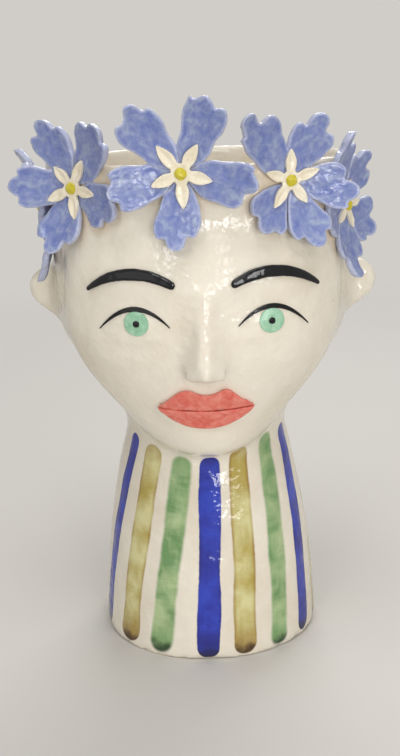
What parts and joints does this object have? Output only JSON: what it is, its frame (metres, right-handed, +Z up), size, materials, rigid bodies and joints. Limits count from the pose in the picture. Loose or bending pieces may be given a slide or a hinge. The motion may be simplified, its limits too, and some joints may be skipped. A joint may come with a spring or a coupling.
{
  "type": "face vase",
  "caption": "Hand-built glazed earthenware vase shaped as a head on a flared striped neck, open at the crown, with applied blue flowers round the front of the rim.",
  "frame": {"origin": "centre of the foot, on the table", "axes": "+Z up, -Y the way the face looks, +X to the right of someone facing it"},
  "size_m": [0.1792, 0.166, 0.2737],
  "materials": {
    "cream_glaze": "glossy cream-white glaze over pale earthenware, uneven by hand",
    "striped_glaze": "glossy cream-white glaze with brushed upright stripes in cobalt, ochre and green",
    "foot_clay": "glazed inside, wiped bare clay underneath",
    "blue_glaze": "glossy mottled periwinkle-blue glaze, breaking pale on edges",
    "ivory_glaze": "glossy ivory glaze",
    "yellow_glaze": "glossy yellow glaze",
    "coral_glaze": "glossy coral glaze",
    "black_glaze": "glossy black glaze"
  },
  "bodies": {
    "root": {"face_mask": "cream_glaze", "far_left_flower_button": "yellow_glaze", "far_left_flower_petal_1": "blue_glaze", "far_left_flower_petal_2": "blue_glaze", "far_left_flower_petal_3": "blue_glaze", "far_left_flower_petal_4": "blue_glaze", "far_left_flower_petal_5": "blue_glaze", "far_left_flower_star": "ivory_glaze", "far_right_flower_button": "yellow_glaze", "far_right_flower_petal_1": "blue_glaze", "far_right_flower_petal_2": "blue_glaze", "far_right_flower_petal_3": "blue_glaze", "far_right_flower_petal_4": "blue_glaze", "far_right_flower_petal_5": "blue_glaze", "far_right_flower_star": "ivory_glaze", "floor_disc": "foot_clay", "head_bowl": "cream_glaze", "left_brow": "black_glaze", "left_ear": "cream_glaze", "left_flower_button": "yellow_glaze", "left_flower_petal_1": "blue_glaze", "left_flower_petal_2": "blue_glaze", "left_flower_petal_3": "blue_glaze", "left_flower_petal_4": "blue_glaze", "left_flower_petal_5": "blue_glaze", "left_flower_star": "ivory_glaze", "lower_lip": "coral_glaze", "middle_flower_button": "yellow_glaze", "middle_flower_petal_1": "blue_glaze", "middle_flower_petal_2": "blue_glaze", "middle_flower_petal_3": "blue_glaze", "middle_flower_petal_4": "blue_glaze", "middle_flower_petal_5": "blue_glaze", "middle_flower_star": "ivory_glaze", "neck_wall": "striped_glaze", "nose": "cream_glaze", "right_brow": "black_glaze", "right_ear": "cream_glaze", "right_flower_button": "yellow_glaze", "right_flower_petal_1": "blue_glaze", "right_flower_petal_2": "blue_glaze", "right_flower_petal_3": "blue_glaze", "right_flower_petal_4": "blue_glaze", "right_flower_petal_5": "blue_glaze", "right_flower_star": "ivory_glaze", "upper_lip": "coral_glaze"}
  },
  "joints": []
}
